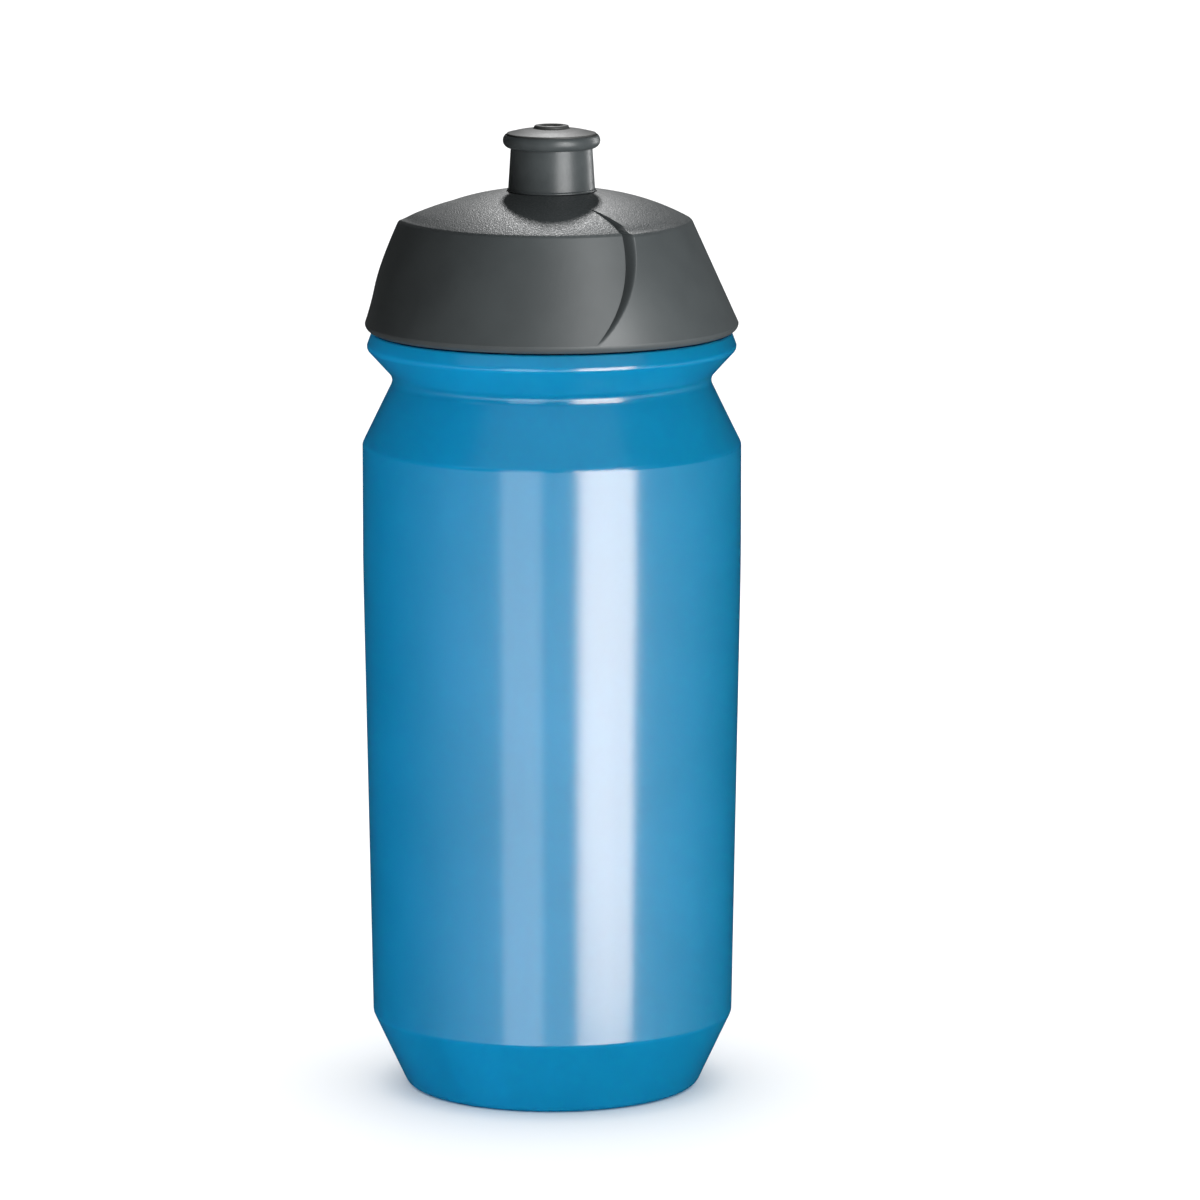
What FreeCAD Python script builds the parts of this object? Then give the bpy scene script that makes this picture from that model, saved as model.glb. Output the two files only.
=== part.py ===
import FreeCAD, Part
import math
import os

from FreeCAD import Vector

# Sports squeeze bottle, in millimetres.
# The origin is the centre of the base, +Z is up and -Y is the front.
# Every piece is turned about the Z axis except the lid's three grip blades and the threads.

# ---- driving dimensions ---------------------------------------------------

# bottle body
body_radius = 37.0            # the round band that a bottle cage holds
wall = 1.2
base_radius = 28.6
base_round = 2.2
base_recess = 4.0
base_recess_slope = 3.5       # how far the recess's rim leans in
base_ring_radius = 24.5       # inner edge of the ring that the bottle stands on
base_ring_round = 1.2
lower_cone_radius = 35.4
lower_cone_top = 14.5
lower_cone_round = 2.0
taper_top = 103.5
taper_arc = 600.0             # the long arc that joins the taper to the band
shoulder_z = 127.5
shoulder_round = 1.8
waist_radius = 30.7
waist_z = 140.4
waist_round = 2.3
flange_radius = 36.2
flange_low_z = 146.4
flange_round = 1.2
flange_top_radius = 35.1
flange_top_z = 149.4
small_round = 0.5
pinch_length = 34.0           # the pinch-off seam that the mould leaves across the base
pinch_width = 0.9
pinch_height = 0.45

# neck and its thread
neck_radius = 27.6
neck_top_z = 163.0
thread_pitch = 4.5
thread_turns = 1.25
thread_start_z = 153.8
neck_thread_crest = 29.2
thread_side_gap = 0.3
thread_root_width = 2.2
thread_crest_width = 1.0
thread_root_bite = 0.3        # how far the ridge's foot reaches into its wall

# lid
lid_bottom_radius = 34.9
lid_bottom_z = 149.7
lid_widest_radius = 36.4
lid_widest_z = 151.2
lid_edge_radius = 27.35
lid_edge_z = 171.2
lid_edge_round = 1.2
lid_crown_z = 177.3
lid_crown_power = 2.5
lid_wall = 1.8
lid_crown_wall = 2.6
lid_bore = 29.45
lid_thread_crest = 28.05
lid_skirt_wall = 1.6
lid_skirt_bottom = 150.2
lid_gap_top_width = 1.0       # of the ring gap between the skirt and the outer wall
lid_socket_radius = 24.0      # the dome's inside, within the gasket seat

# grip blades: each starts at a step that stands proud of the blade before it
blade_count = 3
blade_start_angle = 29.8      # of the step at the lid's edge, from the front towards +X
blade_sweep = 16.0            # how far the step leans back on its way down the side
blade_rise = 2.45
blade_rise_span = 42.0
step_width_low = 1.4          # degrees that the step takes up at the lid's bottom
step_width_top = 2.5          # and at its edge and on the dome
step_bend = 1.9               # power of the step's profile: higher is steeper at its foot
crown_step_bend = 1.0         # straight, so that the step has two sharp edges on the dome
crown_step_width = 1.0        # degrees, where the step runs out on the dome
crown_step_radius = 16.8
crown_step_sweep = 6.6
crown_step_fade = 0.7         # power of the step's rise from there to the lid's edge

# gasket
gasket_gap = 0.1
gasket_thick = 1.2
gasket_inner = 24.6
gasket_outer = 28.8
gasket_round = 0.3

# spout post, in one piece with the lid
post_radius = 5.8
post_bore = 3.4
post_head_radius = 6.4
post_head_low = 184.8
post_head_top = 187.0
post_head_plate = 1.2
pin_radius = 1.7
pin_top = 189.4
port_radius = 0.75
port_circle = 2.55
port_count = 6
spout_seat_radius = 8.8
spout_seat_z = 176.6
spout_seat_rim = 0.6          # flat ring between the seat and the dome's innermost section

# nozzle
nozzle_travel = 6.0
nozzle_foot_z = 176.9
foot_lip_radius = 8.62
foot_lip_top_z = 177.4
barrel_foot_radius = 8.45
barrel_top_radius = 7.95
bead_radius = 9.47            # the round lip that the mouth and the fingers hold
bead_section = 1.5
bead_z = 186.8
bead_groove_radius = 9.0      # a seam beside the core's cap
bead_groove_z = 187.6
core_radius = 7.1
core_cap_radius = 8.7
core_cap_low = 187.2
core_cap_edge_z = 188.2
core_cap_bend_drop = 0.3      # where the cap's top bends, half way in
core_cap_top_z = 189.1
outlet_ring_radius = 3.5
outlet_ring_top_radius = 3.3
outlet_ring_z = 189.75
slide_clearance = 0.08
lip_stop_gap = 0.1            # between the core's lip and the post's head at full travel
core_ceiling_gap = 0.3
core_fit = 0.02               # the sleeve is moulded close around the core
cap_fit = 0.03

# O-ring on the post
ring_section = 0.65
ring_groove_width = 1.4
ring_squeeze = 0.05


# ---- helpers --------------------------------------------------------------

def rounded_path(corners):
    """Edges through (r, z, fillet) corners, with a tangent arc at each filleted corner."""
    points = [Vector(r, 0, z) for r, z, fillet in corners]
    edges = []
    last = points[0]
    for index in range(1, len(points) - 1):
        corner = points[index]
        fillet = corners[index][2]
        if fillet == 0:
            edges.append(Part.makeLine(last, corner))
            last = corner
            continue
        back = (points[index - 1] - corner).normalize()
        ahead = (points[index + 1] - corner).normalize()
        half_angle = back.getAngle(ahead) / 2
        reach = fillet / math.tan(half_angle)
        bisector = (back + ahead).normalize()
        middle = corner + bisector * (fillet / math.sin(half_angle) - fillet)
        start = corner + back * reach
        end = corner + ahead * reach
        if (start - last).Length > 1e-6:
            edges.append(Part.makeLine(last, start))
        edges.append(Part.Arc(start, middle, end).toShape())
        last = end
    edges.append(Part.makeLine(last, points[-1]))
    return edges


def turned(corners):
    """The solid turned about Z from a closed outline of (r, z, fillet) corners."""
    closed = corners + [corners[0]]
    face = Part.Face(Part.Wire(rounded_path(closed)))
    return face.revolve(Vector(0, 0, 0), Vector(0, 0, 1), 360)


def inset(corners, distance):
    """The path moved to its left by distance: straight runs shift, fillets shrink or grow."""
    points = [Vector(r, z, 0) for r, z, fillet in corners]
    sides = []
    for start, end in zip(points[:-1], points[1:]):
        along = (end - start).normalize()
        shift = Vector(-along.y, along.x, 0) * distance
        sides.append((start + shift, along))
    moved = [(sides[0][0].x, sides[0][0].y, 0)]
    for index in range(1, len(sides)):
        start, along = sides[index - 1]
        next_start, next_along = sides[index]
        turn = along.x * next_along.y - along.y * next_along.x
        gap = next_start - start
        travel = (gap.x * next_along.y - gap.y * next_along.x) / turn
        fillet = corners[index][2]
        if fillet > 0:
            fillet = max(fillet - distance * math.copysign(1, turn), 0.3)
        moved.append((start.x + along.x * travel, start.y + along.y * travel, fillet))
    last = points[-1]
    side_start, along = sides[-1]
    end = side_start + along * (last - side_start).dot(along)
    moved.append((end.x, end.y, 0))
    return moved


def thread(root_radius, crest_radius, middle_z):
    """A right-hand trapezoid ridge on root_radius that rises to crest_radius."""
    foot = root_radius + math.copysign(thread_root_bite, root_radius - crest_radius)
    half_root = thread_root_width / 2
    half_crest = thread_crest_width / 2
    outline = [
        Vector(foot, 0, middle_z - half_root),
        Vector(crest_radius, 0, middle_z - half_crest),
        Vector(crest_radius, 0, middle_z + half_crest),
        Vector(foot, 0, middle_z + half_root),
    ]
    profile = Part.makePolygon(outline + [outline[0]])
    helix = Part.makeHelix(thread_pitch, thread_pitch * thread_turns, root_radius)
    helix.translate(Vector(0, 0, middle_z))
    return Part.Wire(helix.Edges).makePipeShell([profile], True, True)


# ---- bottle body ----------------------------------------------------------

def body_outline():
    """The outside of the wall, from the middle of the base to the neck's top."""
    return [
        (0, base_recess, 0),
        (base_ring_radius - base_recess_slope, base_recess, 3),
        (base_ring_radius, 0, base_ring_round),
        (base_radius, 0, base_round),
        (lower_cone_radius, lower_cone_top, lower_cone_round),
        (body_radius, taper_top, taper_arc),
        (body_radius, shoulder_z, shoulder_round),
        (waist_radius, waist_z, waist_round),
        (flange_radius, flange_low_z, flange_round),
        (flange_top_radius, flange_top_z, small_round),
        (neck_radius, flange_top_z, small_round),
        (neck_radius, neck_top_z, 0),
    ]


def make_bottle_body():
    outside = body_outline()
    inside = inset(outside, wall)
    inside[0] = (0, inside[0][1], 0)
    shell = turned(outside + inside[::-1])
    corner = Vector(-pinch_length / 2, -pinch_width / 2, base_recess - pinch_height)
    pinch_seam = Part.makeBox(pinch_length, pinch_width, pinch_height + wall / 2, corner)
    ridge = thread(neck_radius, neck_thread_crest, thread_start_z)
    return shell.fuse([pinch_seam, ridge]).removeSplitter()


# ---- lid ------------------------------------------------------------------

def lid_crown(radius):
    """Height of the domed top at a radius."""
    drop = lid_crown_z - lid_edge_z
    return lid_crown_z - drop * (radius / lid_edge_radius) ** lid_crown_power


def polar(angle, radius, z):
    """A point at an angle in degrees from the front (-Y) towards +X."""
    turn = math.radians(angle)
    return Vector(radius * math.sin(turn), -radius * math.cos(turn), z)


def smooth_edge(points):
    curve = Part.BSplineCurve()
    curve.interpolate(points)
    return curve.toShape()


def blade_section(z, radius, start_angle, rise, step_width, bend):
    """One level of the lid: for each blade a steep step, then a rise that dies away."""
    spacing = 360 / blade_count
    step_points = 8
    side_points = 24
    edges = []
    for blade in range(blade_count):
        start = start_angle + blade * spacing
        step = []
        for index in range(step_points + 1):
            part = index / step_points
            step.append(polar(start + step_width * part, radius + rise * (1 - (1 - part) ** bend), z))
        side = []
        for index in range(side_points + 1):
            past_step = (spacing - step_width) * index / side_points
            flare = max(0, 1 - past_step / blade_rise_span) ** 2
            side.append(polar(start + step_width + past_step, radius + rise * flare, z))
        edges.append(smooth_edge(step))
        edges.append(smooth_edge(side))
    return Part.Wire(edges)


def rim_section(part):
    """The quarter-round lower rim, from part 0 at the bottom to 1 at the widest level."""
    turn = math.radians(90 * part)
    height = lid_widest_z - lid_bottom_z
    depth = lid_widest_radius - lid_bottom_radius
    z = lid_bottom_z + height * (1 - math.cos(turn))
    radius = lid_bottom_radius + depth * math.sin(turn)
    return blade_section(z, radius, blade_start_angle - blade_sweep, 0, step_width_low, step_bend)


def side_section(part):
    """The conical side, from part 0 at the widest level to 1 at the lid's edge."""
    return blade_section(
        lid_widest_z + (lid_edge_z - lid_widest_z) * part,
        lid_widest_radius + (lid_edge_radius - lid_widest_radius) * part,
        blade_start_angle - blade_sweep * (1 - part) ** 2,
        blade_rise * (1 - (1 - part) ** 2),
        step_width_low + (step_width_top - step_width_low) * part,
        step_bend,
    )


def crown_section(radius, z):
    """The dome and its rounded edge: the blades fade out towards the middle."""
    part = (radius - crown_step_radius) / (lid_edge_radius - crown_step_radius)
    part = min(1, max(0, part))
    start = blade_start_angle - crown_step_sweep * (1 - part) ** 2
    width = crown_step_width + (step_width_top - crown_step_width) * part
    bend = crown_step_bend + (step_bend - crown_step_bend) * part ** 4
    return blade_section(z, radius, start, blade_rise * part ** crown_step_fade, width, bend)


def lid_blank():
    """The solid outer shape, in four smooth runs of levels: rim, side, rounded edge and dome."""
    corner = Vector(lid_edge_radius, 0, lid_edge_z)
    down = (Vector(lid_widest_radius, 0, lid_widest_z) - corner)
    side_length = down.Length
    down.normalize()
    crown_slope = (lid_crown_z - lid_edge_z) * lid_crown_power / lid_edge_radius
    inward = Vector(-1, 0, crown_slope).normalize()
    half_angle = down.getAngle(inward) / 2
    reach = lid_edge_round / math.tan(half_angle)
    centre = corner + (down + inward).normalize() * (lid_edge_round / math.sin(half_angle))
    arc_start = corner + down * reach - centre
    arc_turn = math.pi - 2 * half_angle
    crown_start = lid_edge_radius + inward.x * reach
    crown_end = spout_seat_radius + spout_seat_rim

    rim = [rim_section(level / 4) for level in range(5)]
    side = rim[-1:]
    for level in range(1, 9):
        side.append(side_section((1 - reach / side_length) * level / 8))
    edge = side[-1:]
    for level in range(1, 4):
        turn = arc_turn * level / 4
        radius = centre.x + arc_start.x * math.cos(turn) - arc_start.z * math.sin(turn)
        z = centre.z + arc_start.z * math.cos(turn) + arc_start.x * math.sin(turn)
        edge.append(crown_section(radius, z))
    crown = []
    for level in range(10):
        radius = crown_start + (crown_end - crown_start) * level / 9
        crown.append(crown_section(radius, lid_crown(radius)))
    edge.append(crown[0])
    runs = [Part.makeLoft(run, True, False) for run in (rim, side, edge, crown)]
    return runs[0].fuse(runs[1:])


def lid_cavity():
    """Everything hollow under the dome: the ring gap, the threaded bore, the seat and the dome."""
    slope = (lid_widest_radius - lid_edge_radius) / (lid_edge_z - lid_widest_z)
    below = lid_bottom_z - 1
    skirt_outer = lid_bore + lid_skirt_wall
    gap_low_radius = lid_widest_radius - lid_wall
    gap_top_radius = skirt_outer + lid_gap_top_width
    gap_top_z = lid_widest_z + (gap_low_radius - gap_top_radius) / slope
    seat_z = neck_top_z + gasket_gap + gasket_thick + gasket_gap
    dome_middle_radius = 2 * post_radius
    ring_gap = turned([
        (skirt_outer, below, 0),
        (gap_low_radius, below, 0),
        (gap_low_radius, lid_widest_z, 0),
        (gap_top_radius, gap_top_z, small_round),
        (skirt_outer, gap_top_z, small_round),
    ])
    bore = turned([
        (0, below, 0),
        (lid_bore, below, 0),
        (lid_bore, seat_z, small_round),
        (lid_socket_radius, seat_z, small_round),
        (lid_socket_radius, lid_crown(lid_socket_radius) - lid_crown_wall, 2),
        (dome_middle_radius, lid_crown(dome_middle_radius) - lid_crown_wall, 6),
        (0, lid_crown(post_radius) - lid_crown_wall, 0),
    ])
    skirt_trim = turned([
        (lid_bore - 1, below, 0),
        (skirt_outer + small_round, below, 0),
        (skirt_outer + small_round, lid_skirt_bottom, 0),
        (lid_bore - 1, lid_skirt_bottom, 0),
    ])
    return ring_gap.fuse([bore, skirt_trim])


def spout_post():
    """The post that the nozzle slides on, with its ported head and its sealing pin."""
    root_z = lid_crown(0) - lid_crown_wall - 1
    groove_mid = (post_head_low + post_head_top) / 2
    groove_floor = post_head_radius - 2 * ring_section + ring_squeeze
    head_plate_z = post_head_top - post_head_plate
    post = turned([
        (0, root_z, 0),
        (post_radius, root_z, 0),
        (post_radius, post_head_low, 0),
        (post_head_radius, post_head_low, 0.15),
        (post_head_radius, groove_mid - ring_groove_width / 2, 0),
        (groove_floor, groove_mid - ring_groove_width / 2, 0),
        (groove_floor, groove_mid + ring_groove_width / 2, 0),
        (post_head_radius, groove_mid + ring_groove_width / 2, 0),
        (post_head_radius, post_head_top, 0.15),
        (pin_radius, post_head_top, 0.2),
        (pin_radius, pin_top, 0.5),
        (0, pin_top, 0),
    ])
    bore = Part.makeCylinder(post_bore, head_plate_z - root_z + 2, Vector(0, 0, root_z - 2))
    ports = []
    for index in range(port_count):
        centre = polar(index * 360 / port_count, port_circle, head_plate_z - 1)
        ports.append(Part.makeCylinder(port_radius, post_head_plate + 2, centre))
    return post.cut(bore), bore, ports


def make_lid():
    shell = lid_blank().cut(lid_cavity())
    seat = Part.makeCylinder(spout_seat_radius, lid_crown_z - spout_seat_z + 1, Vector(0, 0, spout_seat_z))
    post, bore, ports = spout_post()
    shell = shell.cut([seat, bore]).fuse(post).cut(ports)
    offset = (thread_root_width + thread_crest_width) / 2 + thread_side_gap
    ridge = thread(lid_bore, lid_thread_crest, thread_start_z - offset)
    return shell.fuse(ridge).removeSplitter()


def make_lid_gasket():
    low = neck_top_z + gasket_gap
    high = low + gasket_thick
    return turned([
        (gasket_inner, (low + high) / 2, 0),
        (gasket_inner, low, gasket_round),
        (gasket_outer, low, gasket_round),
        (gasket_outer, high, gasket_round),
        (gasket_inner, high, gasket_round),
    ])


# ---- nozzle ---------------------------------------------------------------

def make_nozzle_core():
    lip_bore = post_radius + slide_clearance
    head_bore = post_head_radius + slide_clearance
    lip_top = post_head_low - nozzle_travel - lip_stop_gap
    ceiling = post_head_top + core_ceiling_gap
    outlet_radius = pin_radius + slide_clearance
    return turned([
        (lip_bore, nozzle_foot_z, 0),
        (core_radius, nozzle_foot_z, 0),
        (core_radius, core_cap_low, 0),
        (core_cap_radius, core_cap_low, 0),
        (core_cap_radius, core_cap_edge_z, 0.15),
        ((core_cap_radius + outlet_ring_radius) / 2, core_cap_top_z - core_cap_bend_drop, 10),
        (outlet_ring_radius, core_cap_top_z, 0.3),
        (outlet_ring_top_radius, outlet_ring_z, 0.45),
        (outlet_radius + 0.5, outlet_ring_z, 0.2),
        (outlet_radius, outlet_ring_z - 0.6, 0.2),
        (outlet_radius, ceiling, 0.2),
        (head_bore, ceiling, 0.3),
        (head_bore, lip_top, 0),
        (lip_bore, lip_top, 0.1),
    ])


def make_mouthpiece_sleeve():
    """The soft outside of the nozzle: a barrel with a lip at its foot and a round bead at its top."""
    inner = core_radius + core_fit
    barrel = turned([
        (inner, nozzle_foot_z, 0),
        (foot_lip_radius, nozzle_foot_z, 0.15),
        (foot_lip_radius, foot_lip_top_z, 0.15),
        (barrel_foot_radius, foot_lip_top_z, 0.1),
        (barrel_top_radius, bead_z - bead_section, 0),
        (barrel_top_radius, bead_z, 0),
        (inner, bead_z, 0),
    ])
    bead = Part.makeTorus(bead_radius - bead_section, bead_section, Vector(0, 0, bead_z))
    core_space = turned([
        (0, nozzle_foot_z - 1, 0),
        (inner, nozzle_foot_z - 1, 0),
        (inner, core_cap_low - cap_fit, 0),
        (core_cap_radius + cap_fit, core_cap_low - cap_fit, 0),
        (core_cap_radius + cap_fit, bead_groove_z, 0),
        (bead_groove_radius, bead_groove_z, 0),
        (bead_groove_radius, core_cap_top_z, 0),
        (0, core_cap_top_z, 0),
    ])
    return barrel.fuse(bead).cut(core_space).removeSplitter()


def make_stem_o_ring():
    groove_mid = (post_head_low + post_head_top) / 2
    centre_radius = post_head_radius - ring_section + ring_squeeze
    return Part.makeTorus(centre_radius, ring_section, Vector(0, 0, groove_mid))


# ---- write the nodes ------------------------------------------------------

def main():
    os.makedirs("parts", exist_ok=True)
    nodes = {
        "bottle_body": make_bottle_body,
        "lid": make_lid,
        "lid_gasket": make_lid_gasket,
        "nozzle_core": make_nozzle_core,
        "mouthpiece_sleeve": make_mouthpiece_sleeve,
        "stem_o_ring": make_stem_o_ring,
    }
    for name, make in nodes.items():
        shape = make()
        shape.exportStep("parts/" + name + ".step")
        size = round(shape.Volume / 1000, 2)
        print(name, shape.ShapeType, len(shape.Solids), shape.isValid(), size, "cm3")


main()
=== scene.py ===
import math

import bpy
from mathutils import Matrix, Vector


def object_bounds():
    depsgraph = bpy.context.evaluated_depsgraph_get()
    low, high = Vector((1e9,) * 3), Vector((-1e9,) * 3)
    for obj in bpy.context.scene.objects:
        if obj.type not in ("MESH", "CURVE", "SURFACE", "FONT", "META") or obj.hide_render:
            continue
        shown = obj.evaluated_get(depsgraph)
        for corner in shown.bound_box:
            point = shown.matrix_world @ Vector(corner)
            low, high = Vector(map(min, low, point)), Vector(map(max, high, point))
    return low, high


# Sports squeeze bottle, in metres. The camera stands at the front, on the -Y side, and +X is to the right.

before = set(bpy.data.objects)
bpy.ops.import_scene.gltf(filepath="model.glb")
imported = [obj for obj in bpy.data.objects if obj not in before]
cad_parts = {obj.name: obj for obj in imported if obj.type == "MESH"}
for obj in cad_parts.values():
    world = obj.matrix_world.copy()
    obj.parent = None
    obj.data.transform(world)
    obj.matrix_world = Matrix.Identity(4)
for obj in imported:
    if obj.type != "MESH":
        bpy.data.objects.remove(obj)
cad_low, cad_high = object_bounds()

# ---- camera ---------------------------------------------------------------

CAMERA_DISTANCE = 1.417
CAMERA_HEIGHT = 0.3385
CAMERA_SIDE = 0.0094          # the bottle stands a little left of the picture's middle
CAMERA_PITCH = 9.7            # degrees below level
CAMERA_LENS = 220.0           # millimetres

# ---- colours, linear ------------------------------------------------------

BLUE = (0.003, 0.195, 0.392)
BLUE_DEEP = (0.002, 0.180, 0.362)
LID_GREY = (0.044, 0.051, 0.053)
LID_GREY_LIGHT = (0.051, 0.059, 0.061)
SLEEVE_GREY = (0.044, 0.051, 0.053)
SLEEVE_GREY_LIGHT = (0.054, 0.062, 0.064)
CORE_GREY = (0.050, 0.052, 0.051)
CORE_GREY_LIGHT = (0.062, 0.064, 0.063)
SILICONE = (0.620, 0.630, 0.610)
SILICONE_DULL = (0.540, 0.550, 0.530)
FLOOR_GREY = (0.82, 0.82, 0.82)
KEY_WARM = (1.0, 0.80, 0.66)

# ---- surfaces -------------------------------------------------------------

PLASTIC_IOR = 1.5
SEAM_CREST = 0.0001           # the parting line is at its full height within this distance of the XZ plane
SEAM_EDGE = 0.0004            # and gone from this one on
GRAIN_STARTS = 0.66           # the Z part of the normal from which the lid is grained
GRAIN_FULL = 0.82             # and that from which the grain is at its full height
LID_SIDE_ROUGHNESS = 0.50
ROUGHNESS_SPREAD = 0.04       # to either side, on the small parts

# ---- studio ---------------------------------------------------------------

FLOOR_HALF_SIDE = 6.0
FLOOR_ROUGHNESS = 0.6
AMBIENT_STRENGTH = 0.015
BACKDROP_STRENGTH = 1.0
LOW_CARD_POWER = 0.32         # of the brightest of the low cards
LOW_CARD_PEAK = 12            # the azimuth of the brightest, in degrees
LOW_CARD_REACH = 125          # the angle from it at which a card would be dark


# ---- material nodes -------------------------------------------------------

class Finish:
    """A Principled material whose patterns follow the piece's own coordinates, in metres."""

    def __init__(self, name, specular=0.5):
        self.material = bpy.data.materials.new(name)
        self.material.use_nodes = True
        self.tree = self.material.node_tree
        self.shader = self.tree.nodes["Principled BSDF"]
        self.set("IOR", PLASTIC_IOR)
        self.set("Specular IOR Level", specular)
        self.place = self.add("ShaderNodeTexCoord").outputs

    def add(self, kind, links=(), **settings):
        """A new node, with its sockets fed from links and its own settings."""
        node = self.tree.nodes.new(kind)
        for name, value in settings.items():
            setattr(node, name, value)
        for name, value in dict(links).items():
            self.feed(node.inputs[name], value)
        return node

    def feed(self, socket, value):
        """Links a socket to another node's output, or gives it a plain value."""
        if isinstance(value, bpy.types.NodeSocket):
            self.tree.links.new(value, socket)
        elif socket.type == "RGBA":
            socket.default_value = (*value, 1)
        else:
            socket.default_value = value

    def set(self, name, value):
        self.feed(self.shader.inputs[name], value)

    def part(self, source, axis):
        """One axis of a piece's own coordinates, where source is Object, or of its Normal."""
        return self.add("ShaderNodeSeparateXYZ", {"Vector": self.place[source]}).outputs[axis]

    def noise(self, size, detail=3, stretch=(1, 1, 1)):
        """Soft spots about size metres across, as a value near 0.5."""
        links = {"Vector": self.place["Object"], "Scale": stretch}
        stretched = self.add("ShaderNodeMapping", links).outputs["Vector"]
        links = {"Vector": stretched, "Scale": 1 / size, "Detail": detail}
        return self.add("ShaderNodeTexNoise", links).outputs["Fac"]

    def maths(self, operation, first, second=0.0):
        node = self.add("ShaderNodeMath", operation=operation)
        self.feed(node.inputs[0], first)
        self.feed(node.inputs[1], second)
        return node.outputs[0]

    def between(self, value, low, high, to_low=0.0, to_high=1.0):
        """Goes smoothly from to_low to to_high while the value goes from low to high."""
        links = {"Value": value, "From Min": low, "From Max": high, "To Min": to_low, "To Max": to_high}
        return self.add("ShaderNodeMapRange", links, interpolation_type="SMOOTHSTEP").outputs["Result"]

    # A Mix node holds the sockets of every data type, with the same names, so they go by number.

    def mix_values(self, share, first, second):
        node = self.add("ShaderNodeMix", data_type="FLOAT")
        self.feed(node.inputs[0], share)
        self.feed(node.inputs[2], first)
        self.feed(node.inputs[3], second)
        return node.outputs[0]

    def mix_colours(self, share, first, second):
        node = self.add("ShaderNodeMix", data_type="RGBA")
        self.feed(node.inputs[0], share)
        self.feed(node.inputs[6], first)
        self.feed(node.inputs[7], second)
        return node.outputs[2]

    def mottled(self, size, first, second):
        """Colours the surface in soft patches of two colours, about size metres across."""
        patches = self.between(self.noise(size), 0.3, 0.7)
        self.set("Base Color", self.mix_colours(patches, first, second))

    def raised(self, pattern, height, under=None):
        """The normal of a surface on which the pattern, from 0 to 1, stands up by height metres."""
        links = {"Height": pattern, "Distance": height}
        if under is not None:
            links["Normal"] = under
        return self.add("ShaderNodeBump", links).outputs["Normal"]

    def see_through_from_behind(self):
        """Shows only the front of the surface."""
        behind = self.add("ShaderNodeNewGeometry").outputs["Backfacing"]
        clear = self.add("ShaderNodeBsdfTransparent").outputs["BSDF"]
        shown = self.add("ShaderNodeMixShader", {"Fac": behind})
        self.feed(shown.inputs[1], self.shader.outputs["BSDF"])
        self.feed(shown.inputs[2], clear)
        self.feed(self.tree.nodes["Material Output"].inputs["Surface"], shown.outputs["Shader"])


def body_finish():
    """Blow-moulded blue plastic that lets light through: slightly wavy, with faint upright streaks."""
    finish = Finish("translucent_blue_plastic", specular=1.0)
    finish.mottled(0.030, BLUE, BLUE_DEEP)
    streaks = finish.noise(size=0.004, stretch=(1, 1, 0.02))
    finish.set("Roughness", finish.between(streaks, 0.25, 0.75, to_low=0.15, to_high=0.20))
    waves = finish.noise(size=0.022, detail=1, stretch=(1, 1, 0.5))
    peel = finish.noise(size=0.0025, detail=2)
    off_plane = finish.maths("ABSOLUTE", finish.part("Object", "Y"))
    seam = finish.between(off_plane, SEAM_CREST, SEAM_EDGE, to_low=1, to_high=0)
    normal = finish.raised(waves, height=0.00008)
    normal = finish.raised(peel, height=0.000006, under=normal)
    normal = finish.raised(seam, height=0.00006, under=normal)
    finish.set("Normal", normal)
    finish.shader.subsurface_method = "RANDOM_WALK"
    finish.set("Subsurface Weight", 1.0)
    finish.set("Subsurface Radius", (0.6, 1.0, 1.0))
    finish.set("Subsurface Scale", 0.003)
    return finish.material


def lid_finish():
    """Dark grey moulding: a satin side and a top with a spark-eroded grain."""
    finish = Finish("dark_grey_moulding", specular=0.7)
    finish.mottled(0.012, LID_GREY, LID_GREY_LIGHT)
    on_top = finish.between(finish.part("Normal", "Z"), GRAIN_STARTS, GRAIN_FULL)
    speckle = finish.between(finish.noise(size=0.0005, detail=2), 0.35, 0.65, to_low=0.42, to_high=0.56)
    finish.set("Roughness", finish.mix_values(on_top, LID_SIDE_ROUGHNESS, speckle))
    satin = finish.noise(size=0.0006, detail=2)
    grain = finish.noise(size=0.00028, detail=2)
    grain_on_top = finish.maths("MULTIPLY", grain, on_top)
    normal = finish.raised(satin, height=0.00001)
    normal = finish.raised(grain_on_top, height=0.00009, under=normal)
    finish.set("Normal", normal)
    return finish.material


def small_part_finish(name, colours, roughness, height, specular=0.5):
    """A small moulding with faint mottling and a fine surface."""
    finish = Finish(name, specular)
    finish.mottled(0.004, *colours)
    fine = finish.noise(size=0.0004)
    smoother = roughness - ROUGHNESS_SPREAD
    rougher = roughness + ROUGHNESS_SPREAD
    finish.set("Roughness", finish.between(fine, 0.3, 0.7, smoother, rougher))
    finish.set("Normal", finish.raised(fine, height))
    return finish.material


def sleeve_finish():
    colours = (SLEEVE_GREY, SLEEVE_GREY_LIGHT)
    return small_part_finish("soft_grey_sleeve", colours, roughness=0.36, height=0.00001)


def core_finish():
    colours = (CORE_GREY, CORE_GREY_LIGHT)
    return small_part_finish("grey_core", colours, roughness=0.50, height=0.000006, specular=0.35)


def silicone_finish():
    colours = (SILICONE_DULL, SILICONE)
    return small_part_finish("pale_silicone", colours, roughness=0.50, height=0.000008)


def dress(material, *names):
    """Gives the CAD nodes of these names a material."""
    for name in names:
        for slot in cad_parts[name].material_slots:
            slot.material = material


# ---- studio pieces --------------------------------------------------------

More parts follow.
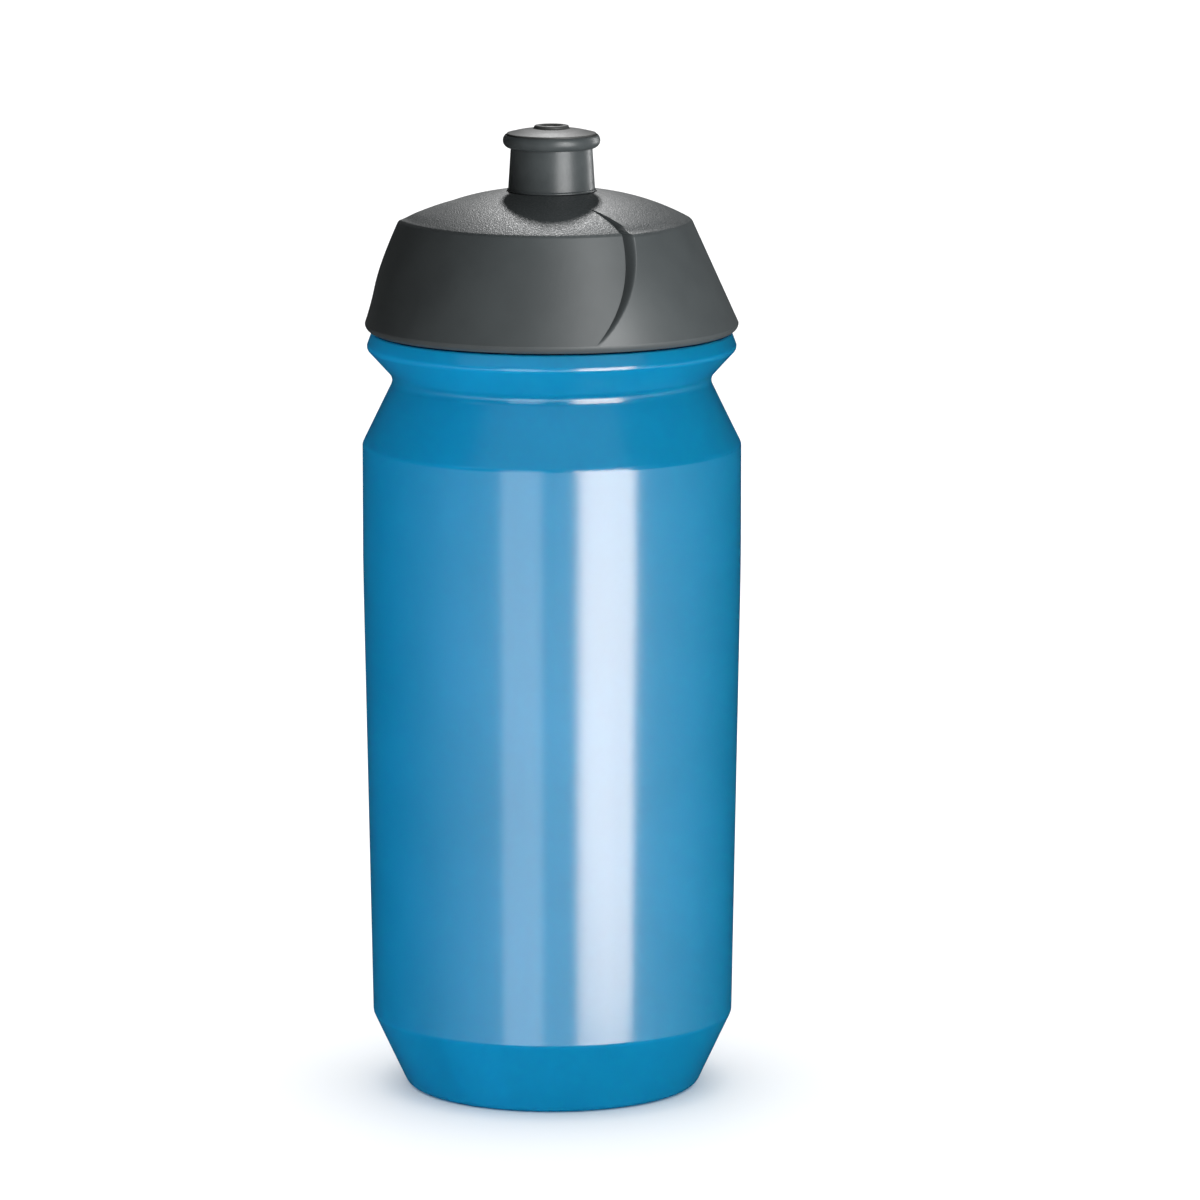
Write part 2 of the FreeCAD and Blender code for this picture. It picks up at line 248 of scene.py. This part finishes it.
def make_floor():
    """A pale floor. It shows in no reflection, stands in no lamp's way, and is clear from below."""
    side = FLOOR_HALF_SIDE
    corners = [(-side, -side, 0), (side, -side, 0), (side, side, 0), (-side, side, 0)]
    mesh = bpy.data.meshes.new("floor")
    mesh.from_pydata(corners, [], [(0, 1, 2, 3)])
    floor = bpy.data.objects.new("floor", mesh)
    bpy.context.scene.collection.objects.link(floor)
    finish = Finish("pale_floor")
    finish.set("Base Color", FLOOR_GREY)
    finish.set("Roughness", FLOOR_ROUGHNESS)
    finish.see_through_from_behind()
    floor.data.materials.append(finish.material)
    floor.visible_glossy = False
    floor.visible_shadow = False
    return floor


def make_world():
    """A white backdrop for the camera, and a much weaker light on everything."""
    world = bpy.data.worlds.new("studio")
    bpy.context.scene.world = world
    world.use_nodes = True
    tree = world.node_tree
    background = tree.nodes["Background"]
    path = tree.nodes.new("ShaderNodeLightPath")
    strength = tree.nodes.new("ShaderNodeMapRange")
    strength.inputs["To Min"].default_value = AMBIENT_STRENGTH
    strength.inputs["To Max"].default_value = BACKDROP_STRENGTH
    tree.links.new(path.outputs["Is Camera Ray"], strength.inputs["Value"])
    tree.links.new(strength.outputs["Result"], background.inputs["Strength"])
    background.inputs["Color"].default_value = (1, 1, 1, 1)


def make_camera():
    """The camera looks along +Y and a little down."""
    data = bpy.data.cameras.new("camera")
    data.lens = CAMERA_LENS
    data.clip_start = 0.05
    data.clip_end = 50
    camera = bpy.data.objects.new("camera", data)
    bpy.context.scene.collection.objects.link(camera)
    camera.location = (CAMERA_SIDE, -CAMERA_DISTANCE, CAMERA_HEIGHT)
    camera.rotation_euler = (math.radians(90 - CAMERA_PITCH), 0, 0)
    bpy.context.scene.camera = camera


def light_only(lamp, objects):
    """Lets the lamp light nothing but these objects."""
    group = bpy.data.collections.new(lamp.name + "_lights")
    for thing in objects:
        group.objects.link(thing)
    lamp.light_linking.receiver_collection = group


def add_softbox(name, azimuth, elevation, distance, size, power, target, on, colour=(1, 1, 1), mirrored=True):
    """A rectangular area light on some objects, placed round a target in degrees and metres.

    Azimuth 0 is the camera's side, and 90 is the +X side.
    """
    light = bpy.data.lights.new(name, "AREA")
    light.shape = "RECTANGLE"
    light.size, light.size_y = size
    light.energy = power
    light.color = colour
    lamp = bpy.data.objects.new(name, light)
    bpy.context.scene.collection.objects.link(lamp)
    turn = math.radians(azimuth)
    rise = math.radians(elevation)
    away = Vector((math.sin(turn) * math.cos(rise), -math.cos(turn) * math.cos(rise), math.sin(rise)))
    lamp.location = target + away * distance
    lamp.rotation_euler = away.to_track_quat("Z", "Y").to_euler()
    lamp.visible_camera = False
    lamp.visible_glossy = mirrored
    light_only(lamp, on)


# ---- lights ---------------------------------------------------------------

def add_keys():
    """The tall softboxes at the right. The body has its own, which makes its broad highlight."""
    add_softbox("key", 35, 0, 0.62, size=(0.42, 0.50), power=5.0, target=middle, on=lid_pieces)
    add_softbox("body_key", 33.5, 0, 0.62, size=(0.39, 0.50), power=4.7, target=middle, on=[body],
                colour=KEY_WARM)


def add_body_cards():
    """The pale strip beside the highlight, the haze of the upright wall, and that of the shoulder."""
    add_softbox("fill", -18, -4, 0.75, size=(0.32, 0.60), power=0.85, target=middle, on=[body])
    for azimuth in range(-100, 131, 10):
        share = math.cos(math.radians(90 * (azimuth - LOW_CARD_PEAK) / LOW_CARD_REACH)) ** 2
        power = LOW_CARD_POWER * share
        add_softbox("low_card", azimuth, -16, 1.10, size=(1.15, 0.40), power=power, target=middle, on=[body])
    add_softbox("shoulder_card", 0, 42, 1.00, size=(2.6, 0.40), power=0.8, target=middle, on=[body])


def add_body_wash(name, azimuth, elevation, power):
    """A broad light that shows in no reflection: it only brightens the body's own blue."""
    add_softbox(name, azimuth, elevation, 1.00, size=(1.0, 1.0), power=power, target=middle, on=[body],
                mirrored=False)


def add_top_lamps():
    """The lid's front, the nozzle's right rim, and the dome's gleam from behind."""
    add_softbox("lid_front", 34, 24, 0.80, size=(0.30, 0.30), power=2.9, target=top, on=lid_pieces)
    add_softbox("nozzle_rim", 130, 5, 0.60, size=(0.15, 0.40), power=1.0, target=top, on=[sleeve])
    add_softbox("top_back", 180, 45, 0.90, size=(0.07, 0.06), power=5.5, target=top, on=pieces)


# ---- the scene ------------------------------------------------------------

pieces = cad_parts.values()
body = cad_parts["bottle_body"]
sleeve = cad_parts["mouthpiece_sleeve"]
lid_pieces = [piece for piece in pieces if piece != body]
middle = (cad_low + cad_high) / 2
top = Vector((middle.x, middle.y, cad_high.z))
floor_middle = Vector((0, 0.6, 0))      # of the part that the camera sees, which is mostly behind the bottle

dress(body_finish(), "bottle_body")
dress(lid_finish(), "lid")
dress(sleeve_finish(), "mouthpiece_sleeve")
dress(core_finish(), "nozzle_core")
dress(silicone_finish(), "lid_gasket", "stem_o_ring")

floor = make_floor()
make_world()
add_keys()
add_body_cards()
add_body_wash("left_wash", -62, 22, 5.6)
add_body_wash("high_wash", 15, 55, 3.9)
add_body_wash("low_wash", 20, -45, 11.0)
add_body_wash("back_wash", 180, 0, 8.0)
add_top_lamps()
add_softbox("floor_wash", 0, 90, 3.0, size=(14, 14), power=1100, target=floor_middle, on=[floor])
make_camera()
bpy.context.scene.view_settings.view_transform = "Standard"
